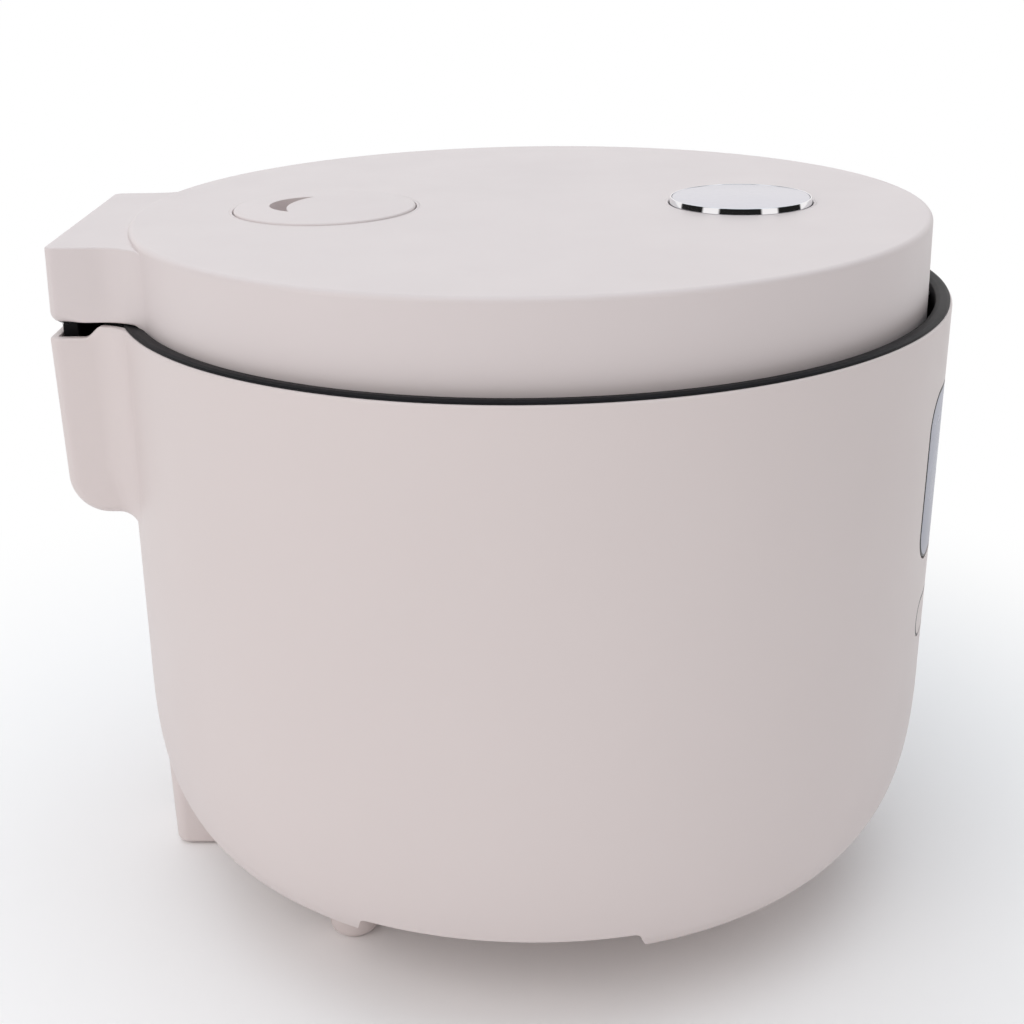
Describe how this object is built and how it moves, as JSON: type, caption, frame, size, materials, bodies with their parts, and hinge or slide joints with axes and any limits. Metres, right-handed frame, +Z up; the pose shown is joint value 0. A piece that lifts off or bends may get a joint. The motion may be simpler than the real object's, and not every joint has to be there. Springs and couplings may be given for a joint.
{
  "type": "electric pressure cooker",
  "caption": "Round countertop electric cooker with a rear-hinged lid, steam vent cap, push-button latch, lift-out pot and front display.",
  "frame": {"origin": "on the table, under the middle of the object's bounding box", "axes": "+X to the front (display), -X the hinge, +Z up, Y across; the object is mirrored about Y = 0 in its outer form"},
  "size_m": [0.2532, 0.24, 0.2097],
  "materials": {
    "cream_plastic": "satin moulded plastic, warm cream",
    "black_plastic": "satin black moulded plastic",
    "grey_plastic": "satin grey moulded plastic",
    "pot_coating": "dark non-stick coating on aluminium",
    "aluminium": "plain satin aluminium",
    "steel": "plain bright steel",
    "display_gloss": "gloss blue-grey panel, unlit",
    "chrome_trim": "bright chrome plating",
    "button_face": "silver film with a soft sheen",
    "silicone": "matt pale silicone",
    "circuit_board": "green solder mask",
    "relay_case": "blue moulded case",
    "capacitor_sleeve": "dark blue sleeve",
    "transformer_tape": "yellow winding tape on a steel core",
    "fuse_ceramic": "off-white ceramic",
    "wire_sleeve": "red silicone sleeving"
  },
  "bodies": {
    "body": {"outer_shell": "cream_plastic", "rear_leg": "cream_plastic", "base_plate": "cream_plastic", "foot_front_left": "cream_plastic", "foot_front_right": "cream_plastic", "foot_rear_left": "cream_plastic", "foot_rear_right": "cream_plastic", "top_frame": "black_plastic", "liner": "aluminium", "inner_pot": "pot_coating", "heating_plate": "aluminium", "heater_terminals": "steel", "thermal_fuse": "fuse_ceramic", "sensor_spring": "steel", "sensor_bracket": "steel", "display_panel": "display_gloss", "display_module": "black_plastic", "control_board": "circuit_board", "key_switches": "black_plastic", "power_board": "circuit_board", "relay": "relay_case", "capacitor": "capacitor_sleeve", "transformer": "transformer_tape", "power_inlet": "black_plastic", "inlet_pins": "steel", "wiring_harness": "wire_sleeve", "hinge_pin": "steel", "hinge_spring": "steel", "base_screws": "steel", "liner_screws": "steel"},
    "lid": {"lid_cover": "cream_plastic", "lid_base": "grey_plastic", "inner_lid_plate": "aluminium", "plate_grommet": "silicone", "seal_ring": "silicone", "vent_tube": "silicone", "lid_sensor": "steel", "button_spring": "steel", "latch_spring": "steel", "lid_screws": "steel"},
    "vent_cap": {"vent_cap": "cream_plastic", "vent_cap_seal": "silicone"},
    "lid_button": {"lid_button": "chrome_trim", "button_plate": "button_face"},
    "latch": {"latch_slider": "grey_plastic"},
    "pot_sensor": {"pot_sensor": "steel"},
    "start_key": {"start_key": "cream_plastic"},
    "cancel_key": {"cancel_key": "cream_plastic"}
  },
  "joints": [
    {"name": "lid_hinge", "type": "hinge", "parent": "body", "child": "lid", "pos_m": [-0.12239, 0, 0.18176], "axis": [0, -1, 0], "range_deg": [0, 85]},
    {"name": "vent_cap_lift", "type": "slide", "parent": "lid", "child": "vent_cap", "axis": [-0.015, 0, 0.9999], "range_m": [0, 0.02]},
    {"name": "lid_button_press", "type": "slide", "parent": "lid", "child": "lid_button", "axis": [0.015, 0, -0.9999], "range_m": [0, 0.003], "stiffness_N_per_m": 500, "springref_m": -0.003, "deforming": ["button_spring"]},
    {"name": "latch_slide", "type": "slide", "parent": "lid", "child": "latch", "axis": [-0.9999, 0, -0.015], "range_m": [0, 0.003], "deforming": ["latch_spring"]},
    {"name": "pot_sensor_press", "type": "slide", "parent": "body", "child": "pot_sensor", "axis": [0.015, 0, -0.9999], "range_m": [0, 0.0015], "stiffness_N_per_m": 400, "springref_m": -0.003, "deforming": ["sensor_spring"]},
    {"name": "start_key_press", "type": "slide", "parent": "body", "child": "start_key", "axis": [-0.9565, 0.2917, 0], "range_m": [0, 0.0008], "stiffness_N_per_m": 800, "springref_m": -0.0008},
    {"name": "cancel_key_press", "type": "slide", "parent": "body", "child": "cancel_key", "axis": [-0.9565, -0.2917, 0], "range_m": [0, 0.0008], "stiffness_N_per_m": 800, "springref_m": -0.0008}
  ],
  "couplings": [
    {"joint": "latch_slide", "follows": "lid_button_press", "ratio": 1}
  ]
}
